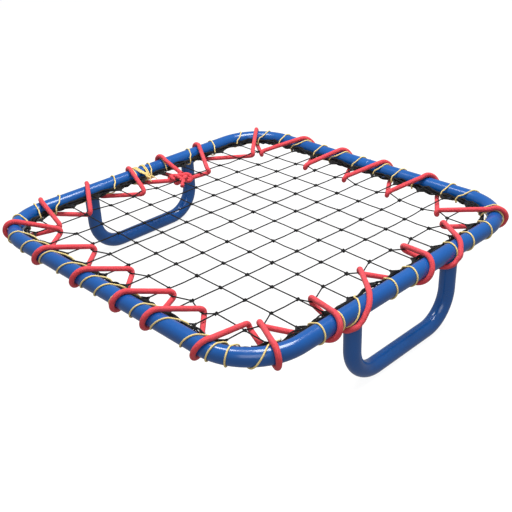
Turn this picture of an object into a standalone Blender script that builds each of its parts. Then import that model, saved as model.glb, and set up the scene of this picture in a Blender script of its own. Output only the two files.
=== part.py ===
"""Hand-held rebounder: a square tube rim with two U handles, a net, a bungee and a lashing.

Run with blender --background --python part.py, or from Blender's text editor.

Units are metres and +Z is up. The origin is on the floor under the middle of the rim, with the
rebounder standing on its two grip bars. The handles hang from the +X and -X sides of the rim.
Sides are numbered 0 to 3, counterclockwise from +X. A place on the rim is a distance along the
side from the side's middle, counterclockwise, and a distance inward from the tube's centreline.
"""
import math

import bmesh
import bpy
from mathutils import Matrix, Vector

# ---- driving dimensions ---------------------------------------------------------------------
RIM_SIDE = 0.600            # rim side, tube centre to tube centre
RIM_BEND = 0.087            # bend radius of the rim's corners, on the centreline
TUBE = 0.025                # outside diameter of the rim and handle tubes
TUBE_WALL = 0.0015
TUBE_SIDES = 16             # facets round a tube
HANDLE_DROP = 0.112         # rim centreline down to grip centreline
LEG_SPACING = 0.224         # between the centrelines of a handle's legs
GRIP_BEND = 0.051           # bend radius of the handle tube
GAP = 0.0003                # clearance between pieces that touch
SEAM_WIDTH = 0.0024         # width of the rim's butt weld
FILLET_RADIUS = 0.0020      # radius of a fillet weld's bead
FILLET_REACH = math.radians(42)     # how far a bead runs each way round the leg

MESH_PITCH = 0.0505         # knot to knot in the middle of the net
MESH_WAIST = 0.0010         # how the strands draw together towards the net's corners
MESH_BARS = 10              # strands each way
MESH_TURN = math.radians(-1.8)      # the net was tied in slightly askew
MESH_CENTRE = (0.0, -0.0040)
CORNER_DRAWN = {(0, 0): (-0.0025, -0.0165), (9, 0): (0.0074, -0.0025)}     # by the corner loops
TWINE = 0.0018              # side of a strand's square section
NET_DROP = 0.003            # the net hangs this far below the rim's centreline
NET_REACH = 0.0287          # where the strands stop, inward from the rim's centreline

EDGE_IN = 0.0190            # middle of the gathered net edge, inward from the rim's centreline
EDGE_DROP = 0.0012
EDGE_WIDTH = 0.0110
EDGE_HEIGHT = 0.0130

BUNGEE = 0.008
HOOK_RISE = 0.0064          # the bungee passes this far above and below the strand it holds
HOOK_LEAN = 0.0035          # and this far to either side where it crosses the strand
HOOK_BULGE = 0.0064         # its loop reaches this far beyond the strand
STRAND_IN_LOOP = 0.0062     # a strand runs straight this far each way from a loop's middle
LASHING = 0.0024

PAINT = (0.02, 0.09, 0.42, 1.0)
RED = (0.75, 0.05, 0.06, 1.0)
YELLOW = (0.80, 0.58, 0.15, 1.0)
BLACK = (0.02, 0.02, 0.022, 1.0)

# ---- worked out from them -------------------------------------------------------------------
TUBE_RADIUS = TUBE / 2
TUBE_FLAT = TUBE_RADIUS * math.cos(math.pi / TUBE_SIDES)    # centre to facet
RIM_Z = HANDLE_DROP + TUBE_FLAT
NET_Z = RIM_Z - NET_DROP
STRAIGHT = RIM_SIDE - 2 * RIM_BEND
QUARTER = STRAIGHT + RIM_BEND * math.pi / 2
SECTION_ORDER = ((-1, -1), (1, -1), (1, 1), (-1, 1))        # round a square section
BUNGEE_STEPS = 7            # straight pieces in a bungee turn round the tube
HOOK_STEPS = 5              # and in its loop round a strand
LASHING_STEPS = 6
CHORD = 0.00055             # how far the middle of such a piece lies inside its arc
BUNGEE_WRAP = TUBE_RADIUS + BUNGEE / 2 + GAP + CHORD
LASHING_WRAP = TUBE_RADIUS + LASHING / 2 + GAP + CHORD

# The bungee's loops in the order that the cord takes them, in millimetres: the side, where the
# cord leaves the top of the tube, where its loop takes the net (along, inward), and where it
# comes back to the underside of the tube.
BUNGEE_LOOPS = (
    (0, -253, -211, 69, -168),
    (0, -148, -124, 60, -137),
    (0, -74, -17, 61, 26),
    (0, 58, 82, 58, 88),
    (0, 136, 189, 59, 262),
    (1, -308, -207, 78, -153),
    (1, -127, -99, 69, -51),
    (1, -29, 0, 66, 43),
    (1, 69, 93, 68, 136),
    (1, 168, 206, 71, 277),
    (2, -284, -212, 78, -150),
    (2, -141, -94, 77, -51),
    (2, -50, -41, 54, 8),
    (2, 26, 47, 62, 88),
    (2, 121, 160, 62, 188),
    (2, 213, 227, 69, 296),
    (3, -262, -210, 61, -168),
    (3, -137, -113, 61, -64),
    (3, -36, -12, 57, 38),
    (3, 57, 84, 56, 105),
    (3, 125, 150, 55, 204),
    (3, 227, 222, 72, 311),
)
LOOPS_PAST_LEGS = (2, 4, 14)    # the turns before these loops cross the outside of a leg's end
LEG_CLEAR = 0.0176          # from a leg's axis to the bungee's, where the bungee passes its outside
BEAD_CLEAR = 0.0045         # and this much more where it passes a weld bead
KNOT_LOOP = 12              # the loop that ends in the knot of the bungee's two ends
KNOT_CENTRE = (-0.231, 0.0425)
KNOT_HALF = (0.0170, 0.0105, 0.0085)
KNOT_MARGIN = 0.0045        # a strand's flat end stays this far outside the knot
KNOT_UPPER = 0.0050         # heights above the net at which strands reach the knot
KNOT_LOWER = -0.0065
PULLED_SHARE = 0.12         # a loop this near a strand's end, as a share of it, doesn't bend it

# The lashing's turns round the tube in order, in millimetres: the side, and how far along it a
# turn crosses the underside of the tube, the top of the tube and the inside of the net's edge.
LASHING_TURNS = (
    (2, 55, 62, 84),
    (2, 165, 177, 198),
    (2, 208, 220, 234),
    (2, 262, 267, 283),
    (3, -246, -228, -204),
    (3, -214, -182, -162),
    (3, -152, -128, -102),
    (3, -112, -76, -60),
    (3, -50, -15, -2),
    (3, -16, 18, 32),
    (3, 22, 50, 62),
    (3, 74, 96, 110),
    (3, 118, 147, 165),
    (3, 175, 204, 211),
    (3, 224, 238, 243),
    (3, 253, 257, 264),
    (0, -283, -262, -247),
    (0, -186, -180, -176),
    (0, -156, -140, -126),
    (0, -147, -104, -82),
    (0, -38, -30, -20),
    (0, 8, 16, 24),
    (0, 81, 115, 126),
    (0, 152, 160, 170),
    (0, 202, 208, 222),
    (1, -308, -315, -302),
    (1, -292, -290, -272),
    (1, -238, -230, -202),
    (1, -190, -180, -172),
    (1, -160, -134, -113),
    (1, -84, -77, -68),
    (1, -59, -41, -27),
    (1, 8, 15, 23),
    (1, 34, 54, 76),
    (1, 103, 110, 118),
    (1, 127, 153, 176),
    (1, 200, 206, 212),
    (1, 246, 252, 272),
    (2, -262, -255, -232),
    (2, -186, -179, -166),
    (2, -134, -119, -104),
    (2, -64, -60, -55),
)
HITCH_ALONG = -0.0225       # middle of the hitch, on side 2
HITCH_WIDTH = 0.0090        # its turns lie side by side


# ---- places on the rim ----------------------------------------------------------------------
def turned(side, x, y):
    """Turn a point of side 0 about the middle to the same place on another side."""
    return ((x, y), (-y, x), (-x, -y), (y, -x))[side % 4]


def rim_at(distance):
    """Centreline point and inward direction at a distance round the rim from side 0's middle."""
    side = math.floor((distance + QUARTER / 2) / QUARTER)
    along = distance - side * QUARTER
    if abs(along) <= STRAIGHT / 2:
        point = turned(side, RIM_SIDE / 2, along)
        inward = turned(side, -1.0, 0.0)
    else:
        way = math.copysign(1.0, along)
        angle = way * (abs(along) - STRAIGHT / 2) / RIM_BEND
        middle = RIM_SIDE / 2 - RIM_BEND
        point = turned(side, middle + RIM_BEND * math.cos(angle),
                       way * STRAIGHT / 2 + RIM_BEND * math.sin(angle))
        inward = turned(side, -math.cos(angle), -math.sin(angle))
    return Vector((*point, RIM_Z)), Vector((*inward, 0.0))


def rim_offset(distance, inward_by, up_by):
    point, inward = rim_at(distance)
    return point + inward * inward_by + Vector((0, 0, up_by))


def on_circle(distance, radius, angle):
    """A point round the tube: angle 0 is inward, 90 degrees is up."""
    return rim_offset(distance, radius * math.cos(angle), radius * math.sin(angle))


def round_rim(side, along_mm):
    return side * QUARTER + along_mm / 1000


# ---- mesh and curve helpers -----------------------------------------------------------------
def clear_scene():
    for item in list(bpy.data.objects):
        bpy.data.objects.remove(item, do_unlink=True)


def make_material(name, colour, roughness):
    material = bpy.data.materials.new(name)
    material.use_nodes = True
    shader = material.node_tree.nodes["Principled BSDF"]
    shader.inputs["Base Color"].default_value = colour
    shader.inputs["Roughness"].default_value = roughness
    return material


def add_object(name, data, material):
    item = bpy.data.objects.new(name, data)
    bpy.context.scene.collection.objects.link(item)
    data.materials.append(material)
    return item


def add_mesh(name, mesh_builder, material, smooth=True):
    """Close a bmesh into an object with its faces pointing out."""
    bmesh.ops.recalc_face_normals(mesh_builder, faces=mesh_builder.faces)
    mesh = bpy.data.meshes.new(name)
    mesh_builder.to_mesh(mesh)
    mesh_builder.free()
    if smooth:
        mesh.shade_smooth()
        mesh.set_sharp_from_angle(angle=math.radians(40))
    return add_object(name, mesh, material)


def add_cord(name, points, diameter, resolution, material):
    """A round bar along points, as a curve with a bevel."""
    curve = bpy.data.curves.new(name, "CURVE")
    curve.dimensions = "3D"
    curve.twist_mode = "MINIMUM"
    curve.bevel_depth = diameter / 2
    curve.bevel_resolution = resolution
    curve.use_fill_caps = True
    spline = curve.splines.new("POLY")
    spline.points.add(len(points) - 1)
    for spline_point, place in zip(spline.points, points):
        spline_point.co = (*place, 1.0)
    spline.use_smooth = True
    return add_object(name, curve, material)


def join_rings(builder, first, second):
    """Close the space between two rings that have as many vertices with a band of faces."""
    count = len(first)
    for k in range(count):
        following = (k + 1) % count
        builder.faces.new((first[k], first[following], second[following], second[k]))


def section_frames(points, plane):
    """At each point of a path that lies in a plane, the path's left-hand side, widened to mitre."""
    ways = [(b - a).normalized() for a, b in zip(points, points[1:])]
    frames = []
    for k in range(len(points)):
        before = ways[max(k - 1, 0)]
        after = ways[min(k, len(ways) - 1)]
        along = (before + after).normalized()
        frames.append(plane.cross(along) / along.dot(before))
    return frames


def add_tube(name, points, plane, material):
    """A hollow tube along a path in a plane, with a facet, not an edge, square to the plane."""
    builder = bmesh.new()
    skins = []
    for radius in (TUBE_RADIUS, TUBE_RADIUS - TUBE_WALL):
        rings = []
        for point, left in zip(points, section_frames(points, plane)):
            rings.append([])
            for k in range(TUBE_SIDES):
                angle = (k + 0.5) * math.tau / TUBE_SIDES
                rings[-1].append(builder.verts.new(
                    point + left * radius * math.cos(angle) + plane * radius * math.sin(angle)))
        skins.append(rings)
    pairs = [(skin[k], skin[k + 1]) for skin in skins for k in range(len(points) - 1)]
    pairs += [(skins[0][0], skins[1][0]), (skins[0][-1], skins[1][-1])]
    for first, second in pairs:
        join_rings(builder, first, second)
    return add_mesh(name, builder, material)


def add_cope_cutter(name, x):
    """A bar in the place of one side of the rim, with a little clearance, that copes a handle."""
    builder = bmesh.new()
    upright_to_y = Matrix.Rotation(math.pi / 2, 4, "X")
    radius = (TUBE_RADIUS + GAP) / math.cos(math.pi / (2 * TUBE_SIDES))
    bmesh.ops.create_cone(builder, cap_ends=True, segments=2 * TUBE_SIDES,
                          radius1=radius, radius2=radius, depth=LEG_SPACING + 2 * TUBE,
                          matrix=Matrix.Translation(Vector((x, 0, RIM_Z))) @ upright_to_y)
    cutter = add_mesh(name, builder, bpy.data.materials["paint"])
    cutter.hide_render = True
    cutter.display_type = "WIRE"
    return cutter


# ---- frame ----------------------------------------------------------------------------------
def make_rim(paint):
    """The rim's tube, bent from one length whose ends meet in the middle of side 1."""
    start = QUARTER + SEAM_WIDTH / 2 + GAP
    end = 5 * QUARTER - SEAM_WIDTH / 2 - GAP
    steps = 7
    distances = [start]
    for side in (1, 2, 3, 4):
        bend_start = side * QUARTER + STRAIGHT / 2
        bend = RIM_BEND * math.pi / 2
        distances += [bend_start + bend * k / steps for k in range(steps + 1)]
    distances.append(end)
    add_tube("rim_tube", [rim_at(distance)[0] for distance in distances], Vector((0, 0, 1)), paint)


def make_seam_weld(steel):
    """The butt weld that closes the rim, ground flush: a short ring between the tube's ends."""
    builder = bmesh.new()
    half = SEAM_WIDTH / 2
    middle = rim_at(QUARTER)[0]
    rings = []
    for x, radius in ((-half, TUBE_RADIUS), (half, TUBE_RADIUS),
                      (half, TUBE_RADIUS - TUBE_WALL), (-half, TUBE_RADIUS - TUBE_WALL)):
        rings.append([builder.verts.new((middle.x + x,
                                         middle.y + radius * math.cos(k * math.tau / 24),
                                         middle.z + radius * math.sin(k * math.tau / 24)))
                      for k in range(24)])
    for first, second in zip(rings, rings[1:] + rings[:1]):
        join_rings(builder, first, second)
    add_mesh("rim_seam_weld", builder, steel)


def handle_points(side_sign):
    """Down one leg, along the grip and up the other leg."""
    x = side_sign * RIM_SIDE / 2
    half = LEG_SPACING / 2
    grip_z = RIM_Z - HANDLE_DROP
    bend_z = grip_z + GRIP_BEND
    steps = 6
    points = [Vector((x, -half, RIM_Z))]
    for turn in (1, -1):
        start = math.pi if turn > 0 else math.pi * 1.5
        centre_y = -turn * (half - GRIP_BEND)
        for k in range(steps + 1):
            angle = start + math.pi / 2 * k / steps
            points.append(Vector((x, centre_y + GRIP_BEND * math.cos(angle),
                                  bend_z + GRIP_BEND * math.sin(angle))))
    points.append(Vector((x, half, RIM_Z)))
    return points


def make_handle(name, side_sign, paint):
    """A U of the same tube, its open ends coped to fit under the rim."""
    handle = add_tube(name, handle_points(side_sign), Vector((1, 0, 0)), paint)
    cope = handle.modifiers.new("Cope", "BOOLEAN")
    cope.operation = "DIFFERENCE"
    cope.solver = "EXACT"
    cope.object = add_cope_cutter(name + "_cope", side_sign * RIM_SIDE / 2)


def make_fillet(name, side_sign, leg_sign, way, steel):
    """A weld bead in the corner between a leg and the rim, on one face of the leg."""
    offset = TUBE_RADIUS + FILLET_RADIUS + 1.5 * GAP
    x = side_sign * RIM_SIDE / 2
    y = leg_sign * LEG_SPACING / 2
    steps = 7
    points = []
    for k in range(steps + 1):
        angle = way * math.pi / 2 + FILLET_REACH * (2 * k / steps - 1)
        points.append(Vector((x + offset * math.cos(angle), y + offset * math.sin(angle),
                              RIM_Z - offset * abs(math.sin(angle)))))
    add_cord(name, points, 2 * FILLET_RADIUS, 1, steel)


# ---- net ------------------------------------------------------------------------------------
def knot_place(column, row):
    half = (MESH_BARS - 1) / 2
    across = column - half
    along = row - half
    x = across * MESH_PITCH * (1 - MESH_WAIST * along ** 2)
    y = along * MESH_PITCH * (1 - MESH_WAIST * across ** 2)
    drawn_x, drawn_y = CORNER_DRAWN.get((column, row), (0, 0))
    return Vector((x * math.cos(MESH_TURN) - y * math.sin(MESH_TURN) + MESH_CENTRE[0] + drawn_x,
                   x * math.sin(MESH_TURN) + y * math.cos(MESH_TURN) + MESH_CENTRE[1] + drawn_y,
                   NET_Z))


def loop_tip(loop):
    side, _, along, inward, _ = loop
    x, y = turned(side, RIM_SIDE / 2 - inward / 1000, along / 1000)
    return Vector((x, y, NET_Z))


def outer_pulls():
    """The strands that the bungee draws out: each one's two knots, and its places in between."""
    last = MESH_BARS - 1
    pulls = {}
    for index, loop in enumerate(BUNGEE_LOOPS):
        side = loop[0]
        tip = loop_tip(loop)
        bars = [(((last, k), (last, k + 1)), ((last - k, last), (last - k - 1, last)),
                 ((0, last - k), (0, last - k - 1)), ((k, 0), (k + 1, 0)))[side]
                for k in range(last)]
        bar = min(bars, key=lambda pair: (knot_place(*pair[0]) + knot_place(*pair[1])
                                          - 2 * tip).length)
        along = Vector((*turned(side, 0, STRAND_IN_LOOP), 0))
        if index == KNOT_LOOP:
            tip = Vector((*KNOT_CENTRE, NET_Z))
            along = Vector((0, -KNOT_HALF[1] - 2 * GAP, 0))
        places = [tip - along, tip + along]
        if bar[0] > bar[1]:
            bar = (bar[1], bar[0])
            places.reverse()
        start = knot_place(*bar[0])
        run = knot_place(*bar[1]) - start
        share = (tip - start).dot(run) / run.length_squared
        if PULLED_SHARE < share < 1 - PULLED_SHARE:
            pulls[bar] = (places, index == KNOT_LOOP)
    return pulls


def net_limit(across):
    """How far from the middle a strand reaches that runs this far to one side of it."""
    beyond = max(abs(across) - STRAIGHT / 2, 0.0)
    return STRAIGHT / 2 + math.sqrt((RIM_BEND - NET_REACH) ** 2 - beyond ** 2)


def square_ring(builder, centre, across):
    """Four vertices of a strand's square section."""
    half = TWINE / 2
    return [builder.verts.new(centre + across * half * a + Vector((0, 0, half * b)))
            for a, b in SECTION_ORDER]


def make_net(black):
    """Square-mesh netting as one flat lattice, with its outer strands drawn out to the bungee."""
    builder = bmesh.new()
    half = TWINE / 2
    corners = {}
    for column in range(MESH_BARS):
        for row in range(MESH_BARS):
            centre = knot_place(column, row)
            for a, b in SECTION_ORDER:
                for c in (-1, 1):
                    corners[column, row, a, b, c] = builder.verts.new(
                        centre + Vector((a * half, b * half, c * half)))
            for c in (-1, 1):
                builder.faces.new([corners[column, row, a, b, c] for a, b in SECTION_ORDER])

    def knot_side(knot, step_x, step_y):
        """The side of a knot that faces one way, as a ring in a strand's order."""
        if step_x:
            return [corners[*knot, step_x, a, b] for a, b in SECTION_ORDER]
        return [corners[*knot, a, step_y, b] for a, b in SECTION_ORDER]

    pulls = outer_pulls()
    for knot in [(column, row) for column in range(MESH_BARS) for row in range(MESH_BARS)]:
        for step_x, step_y in ((1, 0), (-1, 0), (0, 1), (0, -1)):
            near = knot_side(knot, step_x, step_y)
            across = Vector((abs(step_y), abs(step_x), 0))
            neighbour = (knot[0] + step_x, knot[1] + step_y)
            if not 0 <= min(neighbour) <= max(neighbour) < MESH_BARS:
                centre = knot_place(*knot)
                outward = Vector((step_x, step_y, 0))
                run = Matrix.Rotation(MESH_TURN, 3, "Z") @ outward
                end = centre + run * (net_limit(centre.dot(across)) - centre.dot(outward))
                tail = square_ring(builder, end, across)
                join_rings(builder, near, tail)
                builder.faces.new(tail)
            elif step_x + step_y > 0:
                places, parted = pulls.get((knot, neighbour), ((), False))
                rings = [near] + [square_ring(builder, place, across) for place in places]
                rings.append(knot_side(neighbour, -step_x, -step_y))
                for number, (first, second) in enumerate(zip(rings, rings[1:])):
                    if parted and number == 1:
                        builder.faces.new(first)
                        builder.faces.new(second)
                    else:
                        join_rings(builder, first, second)
    add_mesh("net", builder, black, smooth=False)


def make_net_edge(name, side, black):
    """The net's border, gathered into a bundle along one side of the rim."""
    builder = bmesh.new()
    start = side * QUARTER - QUARTER / 2 + GAP
    end = side * QUARTER + QUARTER / 2 - GAP
    bend_steps = 3
    bend = RIM_BEND * math.pi / 4
    distances = [start + bend * k / bend_steps for k in range(bend_steps)]
    distances += [side * QUARTER - STRAIGHT / 2, side * QUARTER + STRAIGHT / 2]
    distances += [end - bend * k / bend_steps for k in reversed(range(bend_steps))]
    rings = []
    for distance in distances:
        rings.append([builder.verts.new(rim_offset(
            distance,
            EDGE_IN + EDGE_WIDTH / 2 * math.cos(k * math.tau / 8),
            -EDGE_DROP + EDGE_HEIGHT / 2 * math.sin(k * math.tau / 8))) for k in range(8)])
    for first, second in zip(rings, rings[1:]):
        join_rings(builder, first, second)
    builder.faces.new(rings[0])
    builder.faces.new(rings[-1])
    add_mesh(name, builder, black)


# ---- bungee ---------------------------------------------------------------------------------
def leaving_angle(distance, target, way):
    """The angle round the tube where a taut cord leaves it for a target point."""
    point, inward = rim_at(distance)
    across = (target - point).dot(inward)
    up = target.z - RIM_Z
    return math.atan2(up, across) + way * math.acos(BUNGEE_WRAP / math.hypot(across, up))


def clear_of_legs(point):
    """Move a point of a turn that would be inside a handle's leg or weld out to its surface."""
    if point.z > RIM_Z:
        return point
    for x in (-RIM_SIDE / 2, RIM_SIDE / 2):
        for y in (-LEG_SPACING / 2, LEG_SPACING / 2):
            away = Vector((point.x - x, point.y - y, 0))
            over_bead = min(max((abs(away.y) / away.length - 0.35) * 4, 0), 1)
            short = LEG_CLEAR + BEAD_CLEAR * over_bead - away.length
            if short > 0:
                point = point + away.normalized() * short
    return point


def wrap_points(index):
    """The turn round the outside of the tube that comes before a loop, from under to over."""
    before = BUNGEE_LOOPS[index - 1]
    loop = BUNGEE_LOOPS[index]
    start = round_rim(before[0], before[4])
    end = round_rim(loop[0], loop[1])
    if end < start - QUARTER:
        start -= 4 * QUARTER
    first = leaving_angle(start, loop_tip(before), -1) + math.tau
    last = leaving_angle(end, loop_tip(loop), 1)
    steps = BUNGEE_STEPS * (2 if index in LOOPS_PAST_LEGS else 1)
    points = []
    for k in range(steps + 1):
        share = k / steps
        points.append(clear_of_legs(on_circle(start + (end - start) * share, BUNGEE_WRAP,
                                              first + (last - first) * share)))
    return points


def hook_points(over, tip, under):
    """The loop round a strand: over the strand, round its far side and back under it."""
    way_in = (tip - over).normalized()
    way_out = (under - tip).normalized()
    onward = way_in + way_out
    onward.z = 0
    lean = onward.normalized() * HOOK_LEAN * min(onward.length, 1.0)
    rise = Vector((0, 0, HOOK_RISE))
    top = tip - lean + rise
    bottom = tip + lean - rise
    way_in = (top - over).normalized()
    way_out = (under - bottom).normalized()
    strength = 8 * HOOK_BULGE / (way_in - way_out).length
    points = []
    for k in range(HOOK_STEPS + 1):
        u = k / HOOK_STEPS
        points.append(top * (2 * u**3 - 3 * u**2 + 1) + bottom * (3 * u**2 - 2 * u**3)
                      + way_in * strength * (u**3 - 2 * u**2 + u)
                      + way_out * strength * (u**3 - u**2))
    return points


def stop_at_knot(place, height):
    """Where a strand that comes from place ends, just outside the knot."""
    centre = Vector((*KNOT_CENTRE, NET_Z))
    way = Vector((place.x - centre.x, place.y - centre.y, 0)).normalized()
    reach = 1 / math.hypot(way.x / KNOT_HALF[0], way.y / KNOT_HALF[1])
    return centre + way * (reach + KNOT_MARGIN) + Vector((0, 0, height))


def make_bungee(red):
    """The bungee from its knot round the whole rim and back, and the loop that anchors the knot."""
    count = len(BUNGEE_LOOPS)
    points = [stop_at_knot(wrap_points(KNOT_LOOP + 1)[0], KNOT_LOWER)]
    for step in range(1, count):
        index = (KNOT_LOOP + step) % count
        tip = loop_tip(BUNGEE_LOOPS[index])
        wrap = wrap_points(index)
        onward = wrap_points((index + 1) % count)[0]
        if step == count - 1:
            onward = stop_at_knot(tip, KNOT_LOWER)
        points += wrap + hook_points(wrap[-1], tip, onward)
    points.append(onward)
    add_cord("bungee_cord", points, BUNGEE, 1, red)
    anchor = wrap_points(KNOT_LOOP)
    add_cord("bungee_anchor_loop", [stop_at_knot(anchor[0], KNOT_LOWER)] + anchor
             + [stop_at_knot(anchor[-1], KNOT_UPPER)], BUNGEE, 1, red)


def make_bungee_knot(red):
    builder = bmesh.new()
    place = Matrix.Translation(Vector((*KNOT_CENTRE, NET_Z)))
    size = Matrix.Diagonal((*KNOT_HALF, 1.0))
    bmesh.ops.create_uvsphere(builder, u_segments=12, v_segments=8, radius=1.0,
                              matrix=place @ size)
    add_mesh("bungee_knot", builder, red)


# ---- lashing --------------------------------------------------------------------------------
# The lashing's way over the gathered net edge, as distances inward and up from the rim's
# centreline, with the share of the advance from the top of the tube that is made by then.
OVER_EDGE = (
    (0.0160, 0.0090, 0.45),
    (0.0245, 0.0052, 0.90),
    (0.0268, -0.0012, 1.00),
)
# Its way back under the edge, up into the groove between the edge and the tube, and down to the
# underside of the tube, with the share of the advance to there.
UNDER_EDGE = (
    (0.0240, -0.0082, 0.00),
    (0.0178, -0.0104, 0.05),
    (0.0133, -0.0076, 0.12),
    (0.0133, -0.0076, 0.50),
    (0.0133, -0.0076, 0.88),
    (0.0101, -0.0111, 1.00),
)
# Past a handle's leg it keeps a little further from the tube.
PAST_LEG = (
    (0.0240, -0.0082, 0.00),
    (0.0178, -0.0104, 0.05),
    (0.0145, -0.0079, 0.12),
    (0.0145, -0.0079, 0.88),
    (0.0101, -0.0111, 1.00),
)
LASHING_TOP = math.radians(80)
LASHING_UNDER = math.radians(280)


def lashing_turns():
    """Each turn's distances round the rim under the tube, over it and inside the net's edge."""
    turns = []
    laps = 0
    for side, *places in LASHING_TURNS:
        distances = [round_rim(side, place) for place in places]
        if turns and distances[1] + laps * 4 * QUARTER < turns[-1][1]:
            laps += 1
        turns.append([distance + laps * 4 * QUARTER for distance in distances])
    return turns


def run_along(way, start, end):
    """Points along one of the ways above, from one distance round the rim to another."""
    return [rim_offset(start + (end - start) * share, inward, up) for inward, up, share in way]


def passes_leg(start, end):
    """Whether a handle's leg stands between two distances round the rim."""
    legs = [side * QUARTER + half * LEG_SPACING for side in (0, 2) for half in (-0.5, 0.5)]
    return any((leg - start) % (4 * QUARTER) < end - start for leg in legs)


def make_lashing(yellow):
    """The lashing from the hitch round the whole rim and back."""
    points = []
    inside = 2 * QUARTER + HITCH_ALONG + HITCH_WIDTH / 2 + LASHING
    for under, over, next_inside in lashing_turns():
        way_back = PAST_LEG if passes_leg(inside, under) else UNDER_EDGE
        points += run_along(way_back, inside, under)
        for k in range(LASHING_STEPS + 1):
            share = k / LASHING_STEPS
            angle = LASHING_UNDER + (LASHING_TOP - LASHING_UNDER) * share
            points.append(on_circle(under + (over - under) * share, LASHING_WRAP, angle))
        points += run_along(OVER_EDGE, over, next_inside)
        inside = next_inside
    add_cord("lashing_cord", points, LASHING, 0, yellow)


def make_hitch(yellow):
    """The lashing's start: turns side by side round the tube and the gathered edge, as a band."""
    builder = bmesh.new()
    outline = []
    for k in range(9):
        angle = LASHING_UNDER + (LASHING_TOP - LASHING_UNDER) * k / 8
        outline.append((LASHING_WRAP * math.cos(angle), LASHING_WRAP * math.sin(angle)))
    outline += [(inward, up) for inward, up, _ in OVER_EDGE + PAST_LEG[:2] + PAST_LEG[-1:]]
    rings = []
    centre_in = EDGE_IN / 2
    for along, thick in ((-1, -1), (1, -1), (1, 1), (-1, 1)):
        ring = []
        for inward, up in outline:
            away = Vector((inward - centre_in, up)).normalized() * thick * LASHING / 2
            distance = 2 * QUARTER + HITCH_ALONG + along * HITCH_WIDTH / 2
            ring.append(builder.verts.new(rim_offset(distance, inward + away.x, up + away.y)))
        rings.append(ring)
    for first, second in zip(rings, rings[1:] + rings[:1]):
        join_rings(builder, first, second)
    add_mesh("lashing_hitch", builder, yellow)


def main():
    clear_scene()
    paint = make_material("paint", PAINT, 0.3)
    red = make_material("red_sheath", RED, 0.6)
    yellow = make_material("yellow_cord", YELLOW, 0.7)
    black = make_material("black_twine", BLACK, 0.8)

    make_rim(paint)
    make_seam_weld(paint)
    for name, side_sign in (("right", 1), ("left", -1)):
        make_handle("handle_" + name, side_sign, paint)
        for leg_name, leg_sign in (("front", -1), ("back", 1)):
            for way_name, way in (("outer", leg_sign), ("inner", -leg_sign)):
                make_fillet(f"weld_{name}_{leg_name}_{way_name}", side_sign, leg_sign, way, paint)
    make_net(black)
    for side, name in enumerate(("right", "back", "left", "front")):
        make_net_edge("net_edge_" + name, side, black)
    make_bungee(red)
    make_bungee_knot(red)
    make_lashing(yellow)
    make_hitch(yellow)


main()
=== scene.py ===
"""The looks of a hand-held rebounder net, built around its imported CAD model.

A square ring of painted tube with two U handles holds a knotted net. One elastic cord in a red
braided sheath pulls the net out to the ring, and one thin yellow cord laces the net's gathered
edge to it. All lengths are in metres.
"""
import math

import bpy
import numpy as np
from mathutils import Matrix, Vector
from mathutils.kdtree import KDTree


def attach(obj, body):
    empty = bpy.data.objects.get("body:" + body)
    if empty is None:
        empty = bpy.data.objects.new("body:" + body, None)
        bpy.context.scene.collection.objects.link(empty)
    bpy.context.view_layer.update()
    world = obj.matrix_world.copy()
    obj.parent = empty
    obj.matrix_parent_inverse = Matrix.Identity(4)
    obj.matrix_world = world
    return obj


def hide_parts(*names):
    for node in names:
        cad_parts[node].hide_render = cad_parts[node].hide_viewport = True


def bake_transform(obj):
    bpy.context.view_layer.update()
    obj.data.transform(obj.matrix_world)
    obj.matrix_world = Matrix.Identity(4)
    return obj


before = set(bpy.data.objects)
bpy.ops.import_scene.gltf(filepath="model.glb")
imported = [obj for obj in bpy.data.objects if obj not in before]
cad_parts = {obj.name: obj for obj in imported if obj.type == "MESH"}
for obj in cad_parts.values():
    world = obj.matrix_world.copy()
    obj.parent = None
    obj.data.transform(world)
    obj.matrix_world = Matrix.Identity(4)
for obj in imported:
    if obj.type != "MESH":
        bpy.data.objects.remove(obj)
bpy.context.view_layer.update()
chance = np.random.default_rng(11)

# ---- driving dimensions, most of them the CAD model's ---------------------------------------
RIM_SIDE = 0.600            # between the centrelines of opposite sides
RIM_BEND = 0.087
TUBE_RADIUS = 0.0125
HANDLE_DROP = 0.112         # from the rim's centreline to the grips'
LEG_SPACING = 0.224
GRIP_BEND = 0.051
RIM_Z = HANDLE_DROP + TUBE_RADIUS * math.cos(math.pi / 16)
BEAD_RADIUS = 0.0020
BEAD_REACH = math.radians(42)       # how far a weld bead goes round its joint, each way

MESH_PITCH = 0.0505
MESH_WAIST = 0.0010         # how the strands draw together towards the net's corners
MESH_BARS = 10
MESH_TURN = math.radians(-1.8)      # the net was tied in slightly askew
MESH_CENTRE = (0.0, -0.0040)
CORNER_DRAWN = {(0, 0): (-0.0025, -0.0165), (9, 0): (0.0074, -0.0025)}     # by the corner loops
TWINE_RADIUS = 0.00104
NET_Z = RIM_Z - 0.003
NET_REACH = 0.0240          # where the strands run into the gathered edge
KNOT_SIZES = (0.00080, 0.00096)
PEAK_KNOT = 0.00042
UNEVEN = 0.0004             # how much knots and strands stray from their true places

EDGE_IN = 0.0190            # middle of the gathered net edge, inward from the rim's centreline
EDGE_DROP = 0.0012
EDGE_STRANDS = 9
EDGE_TWINE = 0.00115
TIE_REACH = 0.011           # how far along the edge a turn of the lashing squeezes it
LOOSE_ENDS = 70             # on each side's gathered edge

BUNGEE_RADIUS = 0.0040
HOOK_RISE = 0.0052          # the bungee passes this far above and below the strand it holds
HOOK_LEAN = 0.0038          # and this far to either side where it crosses the strand
HOOK_BULGE = 0.0060         # its loop reaches this far beyond the strand
STRAND_IN_LOOP = 0.0032     # a strand runs straight this far each way from a loop's middle
LASHING_RADIUS = 0.0012

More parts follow.
